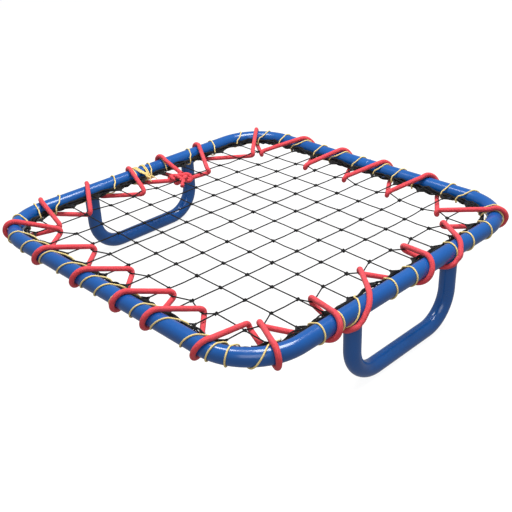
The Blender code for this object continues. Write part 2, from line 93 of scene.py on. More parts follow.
STRAIGHT = RIM_SIDE - 2 * RIM_BEND
QUARTER = STRAIGHT + RIM_BEND * math.pi / 2
LAP = 4 * QUARTER
BUNGEE_WRAP = TUBE_RADIUS + BUNGEE_RADIUS
LASHING_WRAP = TUBE_RADIUS + LASHING_RADIUS
SIDES = ("right", "back", "left", "front")

# The bungee's loops: the side, where the cord leaves the top of the tube, where its loop takes
# the net (along, inward), and where it comes back to the underside of the tube, in millimetres.
BUNGEE_LOOPS = (
    (0, -253, -211, 69, -168), (0, -148, -124, 60, -137), (0, -74, -17, 61, 26),
    (0, 58, 82, 58, 88), (0, 136, 189, 59, 262), (1, -308, -207, 78, -153),
    (1, -127, -99, 69, -51), (1, -29, 0, 66, 43), (1, 69, 93, 68, 136),
    (1, 168, 206, 71, 277), (2, -284, -212, 78, -150), (2, -141, -94, 77, -51),
    (2, -50, -41, 54, 8), (2, 26, 47, 62, 88), (2, 121, 160, 62, 188),
    (2, 213, 227, 69, 296), (3, -262, -210, 61, -168), (3, -137, -113, 61, -64),
    (3, -36, -12, 57, 38), (3, 57, 84, 56, 105), (3, 125, 150, 55, 204),
    (3, 227, 222, 72, 311),
)
LEG_CLEAR = 0.0170          # from a leg's axis to the bungee's, where the bungee passes its outside
BEAD_CLEAR = 0.0030         # and this much more where it passes a weld bead
KNOT_LOOP = 12              # the loop that ends in the knot of the bungee's two ends
KNOT_CENTRE = (-0.2285, 0.0405)
PULLED_SHARE = 0.12         # a loop this near a strand's end, as a share of it, doesn't bend it

# The lashing's turns: the side, and how far along it a turn crosses the underside of the tube,
# the top of the tube and the inside of the net's edge, in millimetres.
LASHING_TURNS = (
    (2, 55, 62, 76), (2, 165, 176, 198), (2, 206, 225, 235), (2, 262, 268, 283),
    (3, -246, -228, -204), (3, -210, -181, -162), (3, -156, -128, -101), (3, -112, -73, -63),
    (3, -48, -15, -4), (3, -14, 19, 32), (3, 24, 51, 62), (3, 72, 96, 109),
    (3, 112, 149, 165), (3, 174, 205, 214), (3, 224, 238, 242), (3, 251, 256, 263),
    (0, -288, -259, -231), (0, -186, -180, -177), (0, -150, -142, -131), (0, -137, -101, -82),
    (0, -38, -30, -19), (0, 8, 16, 23), (0, 108, 114, 126), (0, 152, 160, 170),
    (0, 204, 209, 225), (1, -310, -305, -302), (1, -288, -284, -277), (1, -236, -219, -202),
    (1, -186, -178, -172), (1, -142, -125, -112), (1, -84, -74, -68), (1, -48, -38, -27),
    (1, 10, 17, 23), (1, 48, 58, 78), (1, 104, 113, 118), (1, 142, 157, 177),
    (1, 203, 210, 211), (1, 250, 254, 273), (2, -257, -252, -230), (2, -182, -177, -167),
    (2, -124, -117, -103), (2, -62, -50, -44),
)
# The turns, close together on side 2, that tie the lashing off, in the same way.
HITCH_TURNS = (
    (-30, -19, -8),
    (-12, -7, -3),
    (-7, -4, 0),
    (-1, 9, -1),
    (2, 12, 1),
    (6, 15, 3),
    (19, 19, 24),
)
# The lashing's ways past the net's edge: inward from the rim's centreline, up from it, and the
# share of the way along.
OVER_EDGE = (
    (0.0148, 0.0076, 0.45),
    (0.0190, 0.0046, 0.86),
    (0.0218, -0.0010, 1.00),
)
UNDER_EDGE = (
    (0.0212, -0.0064, 0.00),
    (0.0176, -0.0086, 0.06),
    (0.0128, -0.0072, 0.16),
    (0.0128, -0.0072, 0.50),
    (0.0128, -0.0072, 0.84),
    (0.0098, -0.0102, 1.00),
)
PAST_LEG = (
    (0.0212, -0.0064, 0.00),
    (0.0176, -0.0086, 0.06),
    (0.0142, -0.0076, 0.14),
    (0.0142, -0.0076, 0.86),
    (0.0098, -0.0102, 1.00),
)
LASHING_TOP = math.radians(80)
LASHING_UNDER = math.radians(280)

# ---- studio ---------------------------------------------------------------------------------
CAMERA_BEARING = math.radians(46.404)
CAMERA_HEIGHT = math.radians(28.117)
CAMERA_ROLL = math.radians(-2.301)
CAMERA_TARGET = (0.0947, -0.0880, RIM_Z)
CAMERA_DISTANCE = 1.2037
LENS_MM = 56.79
SENSOR_MM = 36.0
# The floor's profile from where it begins to rise: radius and height.
SWEEP = ((3.0, 0.0), (3.6, 0.08), (4.2, 0.32), (4.7, 0.75), (5.0, 1.30), (5.1, 2.00), (5.1, 6.00))
SWEEP_SEGMENTS = 64
FLOOR_GLOW = 0.92
SKY_STRENGTH = 0.36
LIGHT_AIM = (0, 0, 0.1)
# The lights: name, place, size and power.
LIGHTS = (
    ("key", (0.20, 0.37, 1.92), (1.00, 0.85), 38.0),
    ("second", (-0.52, -0.20, 1.88), (0.45, 0.45), 12.0),
    ("front", (1.7, -1.7, 1.9), (1.5, 1.5), 17.0),
)


# ---- places on the rim ----------------------------------------------------------------------
def turned(side, x, y):
    """Turn a point of side 0 about the middle to the same place on another side."""
    return ((x, y), (-y, x), (-x, -y), (y, -x))[side % 4]


def rim_at(distance):
    """Centreline point and inward direction at a distance round the rim from side 0's middle."""
    side = math.floor((distance + QUARTER / 2) / QUARTER)
    along = distance - side * QUARTER
    if abs(along) <= STRAIGHT / 2:
        point = turned(side, RIM_SIDE / 2, along)
        inward = turned(side, -1.0, 0.0)
    else:
        way = math.copysign(1.0, along)
        angle = way * (abs(along) - STRAIGHT / 2) / RIM_BEND
        middle = RIM_SIDE / 2 - RIM_BEND
        point = turned(side, middle + RIM_BEND * math.cos(angle),
                       way * STRAIGHT / 2 + RIM_BEND * math.sin(angle))
        inward = turned(side, -math.cos(angle), -math.sin(angle))
    return Vector((*point, RIM_Z)), Vector((*inward, 0.0))


def rim_offset(distance, inward_by, up_by):
    """A point inward from and above the rim's centreline."""
    point, inward = rim_at(distance)
    return point + inward * inward_by + Vector((0, 0, up_by))


def on_circle(distance, radius, angle):
    """A point round the tube: angle 0 is inward, 90 degrees is up."""
    return rim_offset(distance, radius * math.cos(angle), radius * math.sin(angle))


def round_rim(side, along_mm):
    """Distance round the rim of a place on a side, given in millimetres from its middle."""
    return side * QUARTER + along_mm / 1000


def sector_of(point):
    """The side whose quarter of the net, between the two diagonals, a point lies in."""
    x, y = point[0], point[1]
    if abs(x) >= abs(y):
        return 0 if x > 0 else 2
    return 1 if y > 0 else 3


# ---- lines ----------------------------------------------------------------------------------
def lengths_along(line):
    """How far along a line each of its points is."""
    steps = np.linalg.norm(np.diff(line, axis=0), axis=1)
    return np.concatenate(([0.0], np.cumsum(steps)))


def blurred(values, half, mode):
    """Each row averaged with its neighbours, up to half of them on either side."""
    weights = np.hanning(2 * half + 3)[1:-1]
    weights /= weights.sum()
    return np.stack([np.convolve(values[:, k], weights, mode) for k in range(3)], axis=1)


def even(points, step):
    """The same line with its points an even step apart."""
    line = np.array([tuple(point) for point in points], float)
    lengths = lengths_along(line)
    count = max(int(round(lengths[-1] / step)), 2)
    places = np.linspace(0.0, lengths[-1], count + 1)
    return np.stack([np.interp(places, lengths, line[:, k]) for k in range(3)], axis=1)


def softened(points, reach, step):
    """The line with its corners rounded over a reach, and its two ends kept."""
    line = even(points, step)
    half = max(int(reach / step / 2), 1)
    half = min(half, len(line) - 1)
    before = 2 * line[0] - line[half:0:-1]
    after = 2 * line[-1] - line[-2:-half - 2:-1]
    return blurred(np.concatenate((before, line, after)), half, "valid")


def trefoil(number, height):
    """The closed line of a plain overhand knot, about three units in radius."""
    turns = np.arange(number) * math.tau / number
    return np.stack([np.sin(turns) + 2 * np.sin(2 * turns), np.cos(turns) - 2 * np.cos(2 * turns),
                     -np.sin(3 * turns) * height], axis=1)


def rings_round(line, radius, sides, closed=False):
    """Rings of points round a line, turned as little as possible from one to the next."""
    if closed:
        ways = np.roll(line, -1, axis=0) - np.roll(line, 1, axis=0)
    else:
        ways = np.gradient(line, axis=0)
    ways /= np.linalg.norm(ways, axis=1, keepdims=True)
    normal = np.cross(ways[0], (0.31, 0.22, 0.93))
    normals = np.empty_like(line)
    for k, way in enumerate(ways):
        normal = normal - way * normal.dot(way)
        normal /= np.linalg.norm(normal)
        normals[k] = normal
    across = np.cross(ways, normals)
    if closed:
        # Share out the turn that is left over where the line meets itself.
        first = normals[0] - ways[-1] * normals[0].dot(ways[-1])
        spare = math.atan2(first.dot(across[-1]), first.dot(normals[-1]))
        turns = (spare * np.arange(len(line)) / len(line))[:, None]
        normals, across = (normals * np.cos(turns) + across * np.sin(turns),
                           across * np.cos(turns) - normals * np.sin(turns))
    angles = np.arange(sides) * math.tau / sides
    radii = np.broadcast_to(np.asarray(radius, float), (len(line),))[:, None, None]
    return (line[:, None, :]
            + radii * (normals[:, None, :] * np.cos(angles)[None, :, None]
                       + across[:, None, :] * np.sin(angles)[None, :, None]))


class Shell:
    """A mesh that is put together from tubes. Its map runs once round and in metres along."""

    def __init__(self):
        self.points = []
        self.quads = []
        self.quad_map = []
        self.caps = []
        self.count = 0

    def tube(self, rings, along=None, closed=False):
        """Skin a row of rings, with flat caps on its two ends unless it is closed."""
        number, sides = rings.shape[:2]
        if along is None:
            along = lengths_along(rings.mean(axis=1))
        if closed:
            along = np.append(along, 2 * along[-1] - along[-2])
        bands = np.arange(number if closed else number - 1)[:, None]
        corner = np.arange(sides)[None, :]
        here = self.count + bands * sides
        there = self.count + (bands + 1) % number * sides
        following = (corner + 1) % sides
        self.quads.append(np.stack([here + corner, here + following,
                                    there + following, there + corner], axis=-1).reshape(-1, 4))
        around = np.broadcast_to(corner / sides, (len(bands), sides))
        start = np.broadcast_to(along[bands], around.shape)
        end = np.broadcast_to(along[bands + 1], around.shape)
        step = 1 / sides
        self.quad_map.append(np.stack([around, start, around + step, start,
                                       around + step, end, around, end], axis=-1).reshape(-1, 2))
        self.points.append(rings.reshape(-1, 3))
        if not closed:
            self.caps.append([self.count + k for k in reversed(range(sides))])
            self.caps.append([self.count + (number - 1) * sides + k for k in range(sides)])
        self.count += number * sides

    def finish(self, name, material):
        """The finished object."""
        faces = [tuple(face) for face in np.concatenate(self.quads).tolist()] + self.caps
        mesh = bpy.data.meshes.new(name)
        mesh.from_pydata(np.concatenate(self.points).tolist(), [], faces)
        chart = np.zeros((len(mesh.loops), 2), np.float32)
        quad_map = np.concatenate(self.quad_map)
        chart[:len(quad_map)] = quad_map
        mesh.uv_layers.new(name="UVMap").data.foreach_set("uv", chart.ravel())
        mesh.shade_smooth()
        mesh.set_sharp_from_angle(angle=math.radians(50))
        mesh.materials.append(material)
        piece = bpy.data.objects.new(name, mesh)
        bpy.context.scene.collection.objects.link(piece)
        return piece


def add_by_sector(shells, line, radius, sides):
    """Add a tube along a line to the shells of the quarters it passes, cut at the diagonals."""
    cut = [line[0]]
    breaks = [0]
    for point in line[1:]:
        before = cut[-1]
        if sector_of(before) != sector_of(point):
            for way in (1, -1):
                start = before[0] - way * before[1]
                end = point[0] - way * point[1]
                if start * end < 0:
                    cut.append(before + (point - before) * start / (start - end))
                    breaks.append(len(cut) - 1)
        cut.append(point)
    breaks.append(len(cut) - 1)
    cut = np.array(cut)
    rings = rings_round(cut, radius, sides)
    along = lengths_along(cut)
    for start, end in zip(breaks, breaks[1:]):
        if end > start:
            sector = sector_of(cut[start:end + 1].mean(axis=0))
            shells[sector].tube(rings[start:end + 1], along[start:end + 1])


def add_by_sector_uneven(shells, line, radii, sides):
    """As add_by_sector, with a radius for each point and cuts at the points next to the diagonals."""
    rings = rings_round(line, radii, sides)
    along = lengths_along(line)
    last = len(line) - 1
    start = 0
    for k in range(1, len(line)):
        if k == last or sector_of(line[k + 1]) != sector_of(line[start + 1]):
            if k > start + 1:
                sector = sector_of(line[(start + k) // 2])
                shells[sector].tube(rings[start:k + 1], along[start:k + 1])
                start = k


# ---- materials ------------------------------------------------------------------------------
class Finish:
    """A node material that is put together step by step."""

    def __init__(self, name):
        self.material = bpy.data.materials.new(name)
        self.material.use_nodes = True
        self.tree = self.material.node_tree
        self.shader = self.tree.nodes["Principled BSDF"]

    def put(self, socket, value):
        """Link a socket to another one's value, or set it."""
        if isinstance(value, bpy.types.NodeSocket):
            self.tree.links.new(value, socket)
        else:
            socket.default_value = value

    def maths(self, operation, first, second=0.0):
        node = self.tree.nodes.new("ShaderNodeMath")
        node.operation = operation
        self.put(node.inputs[0], first)
        self.put(node.inputs[1], second)
        return node.outputs[0]

    def round_and_along(self):
        """The share of the way round a tube, and the metres along it."""
        chart = self.tree.nodes.new("ShaderNodeTexCoord").outputs["UV"]
        parts = self.tree.nodes.new("ShaderNodeSeparateXYZ")
        self.put(parts.inputs[0], chart)
        return parts.outputs[0], parts.outputs[1]

    def noise(self, scale, detail=3.0):
        node = self.tree.nodes.new("ShaderNodeTexNoise")
        self.put(node.inputs["Vector"], self.tree.nodes.new("ShaderNodeTexCoord").outputs["Object"])
        node.inputs["Scale"].default_value = scale
        node.inputs["Detail"].default_value = detail
        return node.outputs["Fac"]

    def spread(self, value, low, high, start=0.3, end=0.7):
        """A value from start to end, stretched to run from low to high."""
        node = self.tree.nodes.new("ShaderNodeMapRange")
        self.put(node.inputs["Value"], value)
        node.inputs["From Min"].default_value = start
        node.inputs["From Max"].default_value = end
        node.inputs["To Min"].default_value = low
        node.inputs["To Max"].default_value = high
        return node.outputs["Result"]

    def mix(self, share, first, second):
        node = self.tree.nodes.new("ShaderNodeMix")
        node.data_type = "RGBA"
        self.put(node.inputs[0], share)
        self.put(node.inputs[6], first)
        self.put(node.inputs[7], second)
        return node.outputs[2]

    def yarns(self, count):
        """The height of yarns side by side: 0 between two of them and 1 on top of one."""
        wave = self.maths("SINE", self.maths("MULTIPLY", count, math.pi))
        return self.maths("ABSOLUTE", wave)

    def bump(self, height, depth, strength=1.0, under=None):
        node = self.tree.nodes.new("ShaderNodeBump")
        self.put(node.inputs["Height"], height)
        node.inputs["Distance"].default_value = depth
        node.inputs["Strength"].default_value = strength
        if under is not None:
            self.put(node.inputs["Normal"], under)
        return node.outputs["Normal"]

    def set(self, **values):
        """The finished material, with values or sockets given by the shader's input names."""
        for name, value in values.items():
            self.put(self.shader.inputs[name.replace("_", " ")], value)
        return self.material


def paint_finish():
    """Thick gloss enamel: a faint orange peel, soft cloudiness and a few rubbed patches."""
    finish = Finish("blue_enamel")
    cloud = finish.spread(finish.noise(11.0), 0.0, 1.0)
    colour = finish.mix(cloud, (0.001, 0.074, 0.305, 1), (0.002, 0.090, 0.350, 1))
    rubbed = finish.spread(finish.noise(37.0, 6.0), 0.0, 0.22, 0.62, 0.80)
    colour = finish.mix(rubbed, colour, (0.010, 0.120, 0.410, 1))
    rough = finish.maths("ADD", finish.spread(finish.noise(70.0), 0.17, 0.25), rubbed)
    peel = finish.bump(finish.noise(220.0, 2.0), 0.00004, 0.20)
    return finish.set(Base_Color=colour, Roughness=rough, Normal=peel,
                      Coat_Weight=0.08, Coat_Roughness=0.10, Specular_IOR_Level=0.65)


def braid_finish(name, painted_groove_shade, light, faded, strands, lay):
    """A braided sheath: yarns that cross each other both ways round the cord, with painted shade
    darkening the grooves between them.
    """
    finish = Finish(name)
    around, along = finish.round_and_along()
    turns = finish.maths("MULTIPLY", around, strands)
    rise = finish.maths("MULTIPLY", along, strands / lay)
    height = finish.maths("MULTIPLY", finish.yarns(finish.maths("ADD", turns, rise)),
                          finish.yarns(finish.maths("SUBTRACT", turns, rise)))
    worn = finish.spread(finish.noise(24.0, 5.0), 0.0, 0.55)
    # Painted shade: the colour darkens from the yarns' tops towards the grooves between them.
    colour = finish.mix(finish.spread(height, 0.0, 1.0, 0.0, 0.45), painted_groove_shade, light)
    colour = finish.mix(worn, colour, faded)
    fuzz = finish.bump(finish.noise(2600.0, 2.0), 0.00010, 0.4)
    weave = finish.bump(height, 0.00035, 0.9, fuzz)
    return finish.set(Base_Color=colour, Roughness=finish.spread(height, 0.62, 0.50, 0.0, 1.0),
                      Normal=weave, Sheen_Weight=0.08, Sheen_Roughness=0.45,
                      Specular_IOR_Level=0.30)


def twist_finish(name, painted_groove_shade, light, faded, strands, pitch, rough):
    """Laid cord: yarns that run round it like a screw, with painted shade darkening the grooves between
    them.
    """
    finish = Finish(name)
    around, along = finish.round_and_along()
    turns = finish.maths("MULTIPLY", around, strands)
    rise = finish.maths("MULTIPLY", along, strands / pitch)
    height = finish.yarns(finish.maths("ADD", turns, rise))
    # Painted shade: the colour darkens from the yarns' tops towards the grooves between them.
    colour = finish.mix(finish.spread(height, 0.0, 1.0, 0.0, 0.6), painted_groove_shade, light)
    colour = finish.mix(finish.spread(finish.noise(30.0, 5.0), 0.0, 0.5), colour, faded)
    fuzz = finish.bump(finish.noise(3400.0, 2.0), 0.00008, 0.5)
    yarns = finish.bump(height, 0.00040, 0.9, fuzz)
    return finish.set(Base_Color=colour, Roughness=finish.spread(height, rough + 0.1, rough, 0.0, 1.0),
                      Normal=yarns, Sheen_Weight=0.05, Sheen_Roughness=0.5,
                      Specular_IOR_Level=0.22)


# ---- camera, floor and light ----------------------------------------------------------------
def add_camera():
    """The view in front of the right corner, from a little above."""
    level = math.cos(CAMERA_HEIGHT)
    back = Vector((math.sin(CAMERA_BEARING) * level, -math.cos(CAMERA_BEARING) * level,
                   math.sin(CAMERA_HEIGHT)))
    right = Vector((0, 0, 1)).cross(back).normalized()
    up = back.cross(right)
    right, up = (right * math.cos(CAMERA_ROLL) + up * math.sin(CAMERA_ROLL),
                 up * math.cos(CAMERA_ROLL) - right * math.sin(CAMERA_ROLL))
    data = bpy.data.cameras.new("camera")
    data.lens = LENS_MM
    data.sensor_width = SENSOR_MM
    camera = bpy.data.objects.new("camera", data)
    turn = Matrix((right, up, back)).transposed().to_4x4()
    place = Vector(CAMERA_TARGET) + back * CAMERA_DISTANCE
    camera.matrix_world = Matrix.Translation(place) @ turn
    bpy.context.scene.collection.objects.link(camera)
    bpy.context.scene.camera = camera


def add_light(name, place, size, power):
    """A soft rectangular light that faces the object."""
    data = bpy.data.lights.new(name, "AREA")
    data.shape = "RECTANGLE"
    data.size, data.size_y = size
    data.energy = power
    light = bpy.data.objects.new(name, data)
    away = Vector(place) - Vector(LIGHT_AIM)
    turn = away.to_track_quat("Z", "Y").to_matrix().to_4x4()
    light.matrix_world = Matrix.Translation(Vector(place)) @ turn
    bpy.context.scene.collection.objects.link(light)


def sweep_mesh():
    """A round floor that curves up into a wall, seen as plain white from every side."""
    points = [(0.0, 0.0, 0.0)]
    for radius, height in SWEEP:
        for k in range(SWEEP_SEGMENTS):
            angle = math.tau * k / SWEEP_SEGMENTS
            points.append((radius * math.cos(angle), radius * math.sin(angle), height))
    faces = [(0, 1 + k, 1 + (k + 1) % SWEEP_SEGMENTS) for k in range(SWEEP_SEGMENTS)]
    for ring in range(len(SWEEP) - 1):
        inner = 1 + ring * SWEEP_SEGMENTS
        outer = inner + SWEEP_SEGMENTS
        for k in range(SWEEP_SEGMENTS):
            beyond = (k + 1) % SWEEP_SEGMENTS
            faces.append((inner + k, outer + k, outer + beyond, inner + beyond))
    mesh = bpy.data.meshes.new("floor")
    mesh.from_pydata(points, [], faces)
    mesh.shade_smooth()
    return mesh


def add_floor():
    """A pale floor that glows a little, so it stays white, and lights nothing itself."""
    finish = Finish("floor")
    mottle = finish.spread(finish.noise(3.0), 0.0, 1.0)
    pale = finish.mix(mottle, (0.12, 0.12, 0.12, 1), (0.14, 0.14, 0.14, 1))
    mesh = sweep_mesh()
    mesh.materials.append(finish.set(Base_Color=pale, Roughness=0.9, Emission_Color=(1.0, 1.0, 1.0, 1),
                                     Emission_Strength=FLOOR_GLOW))
    floor = bpy.data.objects.new("floor", mesh)
    bpy.context.scene.collection.objects.link(floor)
    floor.visible_diffuse = False
    floor.visible_glossy = False


def add_studio():
    """An even sky, the floor and the lights."""
    bpy.context.scene.view_settings.view_transform = "Standard"
    world = bpy.data.worlds.new("studio")
    world.use_nodes = True
    background = world.node_tree.nodes["Background"]
    background.inputs["Color"].default_value = (1.0, 1.0, 1.0, 1.0)
    background.inputs["Strength"].default_value = SKY_STRENGTH
    bpy.context.scene.world = world
    add_floor()
    for light in LIGHTS:
        add_light(*light)


# ---- tubes and welds ------------------------------------------------------------------------
def oval_rings(points, lefts, plane, narrow):
    """Rings of a bent tube: it is a little narrower across where it is bent."""
    sides = 48
    angles = np.arange(sides) * math.tau / sides
    rings = []
    for point, left, share in zip(points, lefts, narrow):
        wide = TUBE_RADIUS * (1 - 0.018 * share)
        tall = TUBE_RADIUS * (1 + 0.008 * share)
        rings.append([point + left * wide * math.cos(a) + plane * tall * math.sin(a) for a in angles])
    return np.array(rings, float)


def make_rim(paint):
    """The square ring, a little narrowed across in its four bends."""
    straight_steps = 12
    bend_steps = 20
    narrowing = 0.015
    bend = RIM_BEND * math.pi / 2
    distances = []
    for side in range(4):
        start = side * QUARTER
        distances += [start + STRAIGHT * (k / straight_steps - 0.5) for k in range(straight_steps)]
        distances += [start + STRAIGHT / 2 + bend * k / bend_steps for k in range(bend_steps)]
    places = [rim_at(distance) for distance in distances]
    bent = []
    for distance in distances:
        along = (distance + QUARTER / 2) % QUARTER - QUARTER / 2
        bent.append(min(max((abs(along) - STRAIGHT / 2) / narrowing, 0.0), 1.0))
    shell = Shell()
    shell.tube(oval_rings([p for p, _ in places], [-i for _, i in places], Vector((0, 0, -1)), bent),
               closed=True)
    return shell.finish("rim_painted", paint)


def make_seam(paint):
    """The rim's butt weld: a low ring of ripples under the paint."""
    middle = rim_at(QUARTER)[0]
    sides = 72
    shell = Shell()
    rings = []
    for x, proud in ((-1.5, -0.15), (-1.1, 0.12), (-0.4, 0.30), (0.4, 0.30), (1.1, 0.12), (1.5, -0.15)):
        ring = []
        for k in range(sides):
            angle = k * math.tau / sides
            ripple = 0.05 * math.sin(k * math.tau / 4.0) if abs(x) < 1 else 0.0
            radius = TUBE_RADIUS + (proud + ripple) / 1000
            ring.append((middle.x + x / 1000, middle.y + radius * math.cos(angle),
                         middle.z + radius * math.sin(angle)))
        rings.append(ring)
    shell.tube(np.array(rings, float))
    return shell.finish("rim_seam_bead", paint)


def make_handle(name, way, paint):
    """A U of tube whose legs are coped to the round underside of the rim."""
    x = way * RIM_SIDE / 2
    half = LEG_SPACING / 2
    bend_z = RIM_Z - HANDLE_DROP + GRIP_BEND
    steps = 18
    points = [Vector((x, -half, RIM_Z - share * (RIM_Z - bend_z))) for share in (0.0, 0.3, 0.6)]
    lefts = [Vector((0, 1, 0))] * 3
    for turn in (1, -1):
        start = math.pi if turn > 0 else math.pi * 1.5
        for k in range(steps + 1):
            angle = start + math.pi / 2 * k / steps
            out = Vector((0, math.cos(angle), math.sin(angle)))
            points.append(Vector((x, -turn * (half - GRIP_BEND), bend_z)) + out * GRIP_BEND)
            lefts.append(-out)
    points += [Vector((x, half, bend_z + share * (RIM_Z - bend_z))) for share in (0.4, 0.7, 1.0)]
    lefts += [Vector((0, -1, 0))] * 3
    bend = [0.5] + [1] * (steps - 1) + [0.5]
    bent = [0, 0, 0] + bend + bend + [0, 0, 0]
    rings = oval_rings(points, lefts, Vector((1, 0, 0)), bent)
    for ring in (rings[0], rings[-1]):
        reach = np.clip(TUBE_RADIUS ** 2 - (ring[:, 0] - x) ** 2, 0, None)
        ring[:, 2] = RIM_Z - np.sqrt(reach) + 0.0002
    shell = Shell()
    shell.tube(rings)
    return shell.finish(name, paint)


def make_bead(name, side_way, leg_way, face_way, paint):
    """A weld bead between a leg and the rim: small overlapping ripples that taper at both ends."""
    x = side_way * RIM_SIDE / 2
    y = leg_way * LEG_SPACING / 2
    steps = 70
    offset = TUBE_RADIUS + 0.0011
    line = []
    radii = []
    for k in range(steps + 1):
        share = 2 * k / steps - 1
        angle = face_way * math.pi / 2 + BEAD_REACH * 1.08 * share
        line.append((x + offset * math.cos(angle), y + offset * math.sin(angle),
                     RIM_Z - offset * abs(math.sin(angle)) - 0.0003))
        taper = math.sqrt(max(1 - abs(share) ** 4, 0.02))
        ripple = abs(math.sin(k * math.pi / 5.0 + face_way))
        radii.append(BEAD_RADIUS * taper * (0.88 + 0.12 * ripple))
    shell = Shell()
    shell.tube(rings_round(np.array(line), radii, 16))
    return shell.finish(name, paint)


# ---- net ------------------------------------------------------------------------------------
def knot_place(column, row):
    """Where the net's knot of a column and a row is."""
    half = (MESH_BARS - 1) / 2
    across = column - half
    along = row - half
    x = across * MESH_PITCH * (1 - MESH_WAIST * along ** 2)
    y = along * MESH_PITCH * (1 - MESH_WAIST * across ** 2)
    drawn_x, drawn_y = CORNER_DRAWN.get((column, row), (0, 0))
    return Vector((x * math.cos(MESH_TURN) - y * math.sin(MESH_TURN) + MESH_CENTRE[0] + drawn_x,
                   x * math.sin(MESH_TURN) + y * math.cos(MESH_TURN) + MESH_CENTRE[1] + drawn_y,
                   NET_Z))


def loop_tip(loop):
    """Where a loop of the bungee takes the net."""
    side, _, along, inward, _ = loop
    x, y = turned(side, RIM_SIDE / 2 - inward / 1000, along / 1000)
    return Vector((x, y, NET_Z))


def outer_pulls():
    """The strands that the bungee draws out: each one's two knots, and its places in between."""
    last = MESH_BARS - 1
    pulls = {}
    for index, loop in enumerate(BUNGEE_LOOPS):
        side = loop[0]
        tip = loop_tip(loop)
        bars = [(((last, k), (last, k + 1)), ((last - k, last), (last - k - 1, last)),
                 ((0, last - k), (0, last - k - 1)), ((k, 0), (k + 1, 0)))[side]
                for k in range(last)]
        bar = min(bars, key=lambda pair: (knot_place(*pair[0]) + knot_place(*pair[1])
                                          - 2 * tip).length)
        if index == KNOT_LOOP:
            tip = Vector((*KNOT_CENTRE, NET_Z))
        along = Vector((*turned(side, 0, STRAND_IN_LOOP), 0))
        places = [tip - along, tip + along]
        if bar[0] > bar[1]:
            bar = (bar[1], bar[0])
            places.reverse()
        start = knot_place(*bar[0])
        run = knot_place(*bar[1]) - start
        share = (tip - start).dot(run) / run.length_squared
        if PULLED_SHARE < share < 1 - PULLED_SHARE:
            pulls[bar] = places
    return pulls


def edge_target(point, outward):
    """Where a strand that runs outward from a knot reaches the gathered edge."""
    run = Matrix.Rotation(MESH_TURN, 3, "Z") @ outward
    across = abs(point.x * outward.y - point.y * outward.x)
    beyond = max(across - STRAIGHT / 2, 0.0)
    limit = STRAIGHT / 2 + math.sqrt((RIM_BEND - NET_REACH) ** 2 - beyond ** 2)
    return point + run * (limit - point.dot(outward))


def bowed(start, end, lift):
    """A nearly straight strand between two places, a little slack one way or the other."""
    aside = (end - start).cross(Vector((0, 0, 1))).normalized()
    bow = aside * chance.normal(0, 0.00035) + Vector((0, 0, -abs(chance.normal(0, UNEVEN))))
    middle = (start + end) / 2 + bow
    up = Vector((0, 0, lift))
    return [start + up, middle + up, end + up]


def add_strand(shells, points):
    """A strand of the net's twine through a few points."""
    line = even(softened(points, 0.006, 0.0006), 0.0013)
    add_by_sector(shells, line, TWINE_RADIUS, 8)


def add_knot(shells, centre, size):
    """One netting knot: a twine wound over and under itself into a tight lump."""
    spin = Matrix.Rotation(chance.uniform(0, math.tau), 3, "Z")
    tip = Matrix.Rotation(chance.uniform(-0.4, 0.4), 3, "X")
    line = trefoil(40, 1.5) * size @ np.array(spin @ tip).T + np.array(centre)
    rings = rings_round(line, TWINE_RADIUS * 0.95, 7, closed=True)
    shells[sector_of(centre)].tube(rings, closed=True)


def add_peak(shells, knot, end):
    """A strand from an outer knot, and the bunched meshes that fan from it into the edge."""
    outward = (end - knot).normalized()
    sideways = Vector((-outward.y, outward.x, 0))
    top = end - outward * chance.uniform(0.006, 0.010)
    add_strand(shells, [knot, top, end + outward * 0.003])
    for number in range(8):
        way = -1 if number % 2 else 1
        reach = (0.003 + 0.0042 * (number // 2)) * chance.uniform(0.8, 1.25)
        rise = Vector((0, 0, chance.uniform(-0.0010, 0.0034)))
        foot = end + sideways * way * reach + outward * 0.0035 + rise
        middle = top + (foot - top) * 0.5 + outward * 0.0012 + rise * 0.4
        add_strand(shells, [top, middle, foot])
    add_knot(shells, top, PEAK_KNOT)


def make_net(twine):
    """Knotted square-mesh netting in four quarters, its outer strands drawn out to the bungee."""
    shells = [Shell() for _ in SIDES]
    pulls = outer_pulls()
    lift = TWINE_RADIUS * 0.55
    knots = {(column, row): knot_place(column, row)
             + Vector((chance.normal(0, UNEVEN), chance.normal(0, UNEVEN), 0))
             for column in range(MESH_BARS) for row in range(MESH_BARS)}
    for knot, centre in knots.items():
        add_knot(shells, centre, chance.uniform(*KNOT_SIZES))
        for step_x, step_y in ((1, 0), (-1, 0), (0, 1), (0, -1)):
            up = lift if step_x else -lift
            neighbour = (knot[0] + step_x, knot[1] + step_y)
            if neighbour not in knots:
                add_peak(shells, centre, edge_target(centre, Vector((step_x, step_y, 0))))
            elif step_x + step_y > 0:
                if (knot, neighbour) in pulls:
                    places = pulls[knot, neighbour]
                    points = [centre, *places, knots[neighbour]]
                else:
                    points = bowed(centre, knots[neighbour], up)
                add_strand(shells, points)
    return [shell.finish("net_" + side, twine) for shell, side in zip(shells, SIDES)]


def waves(distance, seeds, scale):
    """A smooth irregular number between about -1 and 1 for a distance round the rim."""
    total = 0.0
    for number, (phase, pace) in enumerate(seeds):
        total += math.sin(distance * scale * pace + phase) / (1 + 0.4 * number)
    return total / 1.9


def in_edge(distance, across, up, angle):
    """A point round the middle of the gathered edge."""
    return rim_offset(distance, EDGE_IN + across * math.cos(angle), -EDGE_DROP + up * math.sin(angle))


